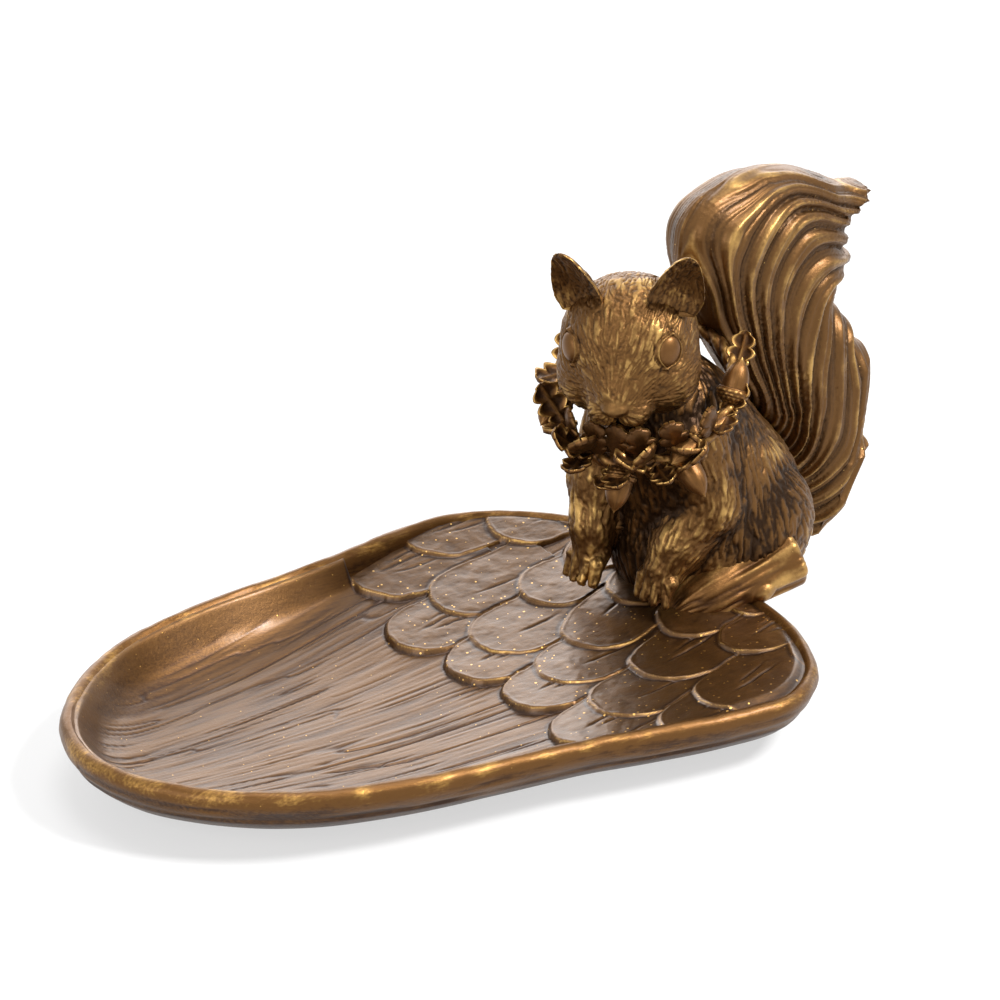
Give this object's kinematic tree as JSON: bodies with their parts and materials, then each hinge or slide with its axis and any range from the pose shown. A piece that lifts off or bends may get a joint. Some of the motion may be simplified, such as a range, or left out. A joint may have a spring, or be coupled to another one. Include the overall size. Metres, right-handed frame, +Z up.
{
  "type": "squirrel figurine tray",
  "caption": "Antique bronze squirrel with an oak-leaf garland, leaning over the cap end of an acorn-shaped keepsake tray.",
  "frame": {"origin": "on the table under the felt pad, 118 mm from the tip of the nut, on the tray's middle line", "axes": "+X from the tip of the nut to the stem, +Z up, +Y to the squirrel's right"},
  "size_m": [0.3145, 0.1786, 0.1597],
  "materials": {
    "tray_bronze": "cold-cast resin, antique bronze with rubbed gold edges",
    "fur_bronze": "cold-cast resin, antique bronze, carved fur rubbed gold",
    "tail_bronze": "cold-cast resin, antique bronze locks rubbed gold",
    "garland_bronze": "cold-cast resin, dark bronze with gold rims",
    "eye_bronze": "smooth polished bronze",
    "felt": "dark brown felt"
  },
  "bodies": {
    "root": {"acorn_dish": "tray_bronze", "cap_scales_row_1": "tray_bronze", "cap_scales_row_2": "tray_bronze", "cap_scales_row_3": "tray_bronze", "cap_scales_row_4": "tray_bronze", "felt_pad": "felt", "front_acorn_cap": "garland_bronze", "front_acorn_nut": "garland_bronze", "garland_ring": "garland_bronze", "head": "fur_bronze", "left_cheek_acorn_cap": "garland_bronze", "left_cheek_acorn_nut": "garland_bronze", "left_ear": "fur_bronze", "left_eye": "eye_bronze", "left_foreleg": "fur_bronze", "left_front_acorn_cap": "garland_bronze", "left_front_acorn_nut": "garland_bronze", "left_haunch": "fur_bronze", "left_shoulder_acorn_cap": "garland_bronze", "left_shoulder_acorn_nut": "garland_bronze", "nose": "fur_bronze", "oak_leaf_01": "garland_bronze", "oak_leaf_02": "garland_bronze", "oak_leaf_03": "garland_bronze", "oak_leaf_04": "garland_bronze", "oak_leaf_05": "garland_bronze", "oak_leaf_06": "garland_bronze", "oak_leaf_07": "garland_bronze", "oak_leaf_08": "garland_bronze", "oak_leaf_09": "garland_bronze", "oak_leaf_10": "garland_bronze", "oak_leaf_11": "garland_bronze", "oak_leaf_12": "garland_bronze", "oak_leaf_13": "garland_bronze", "oak_leaf_14": "garland_bronze", "right_cheek_acorn_cap": "garland_bronze", "right_cheek_acorn_nut": "garland_bronze", "right_ear": "fur_bronze", "right_eye": "eye_bronze", "right_foreleg": "fur_bronze", "right_haunch": "fur_bronze", "squirrel_body": "fur_bronze", "stem": "tray_bronze", "tail": "tail_bronze"}
  },
  "joints": []
}
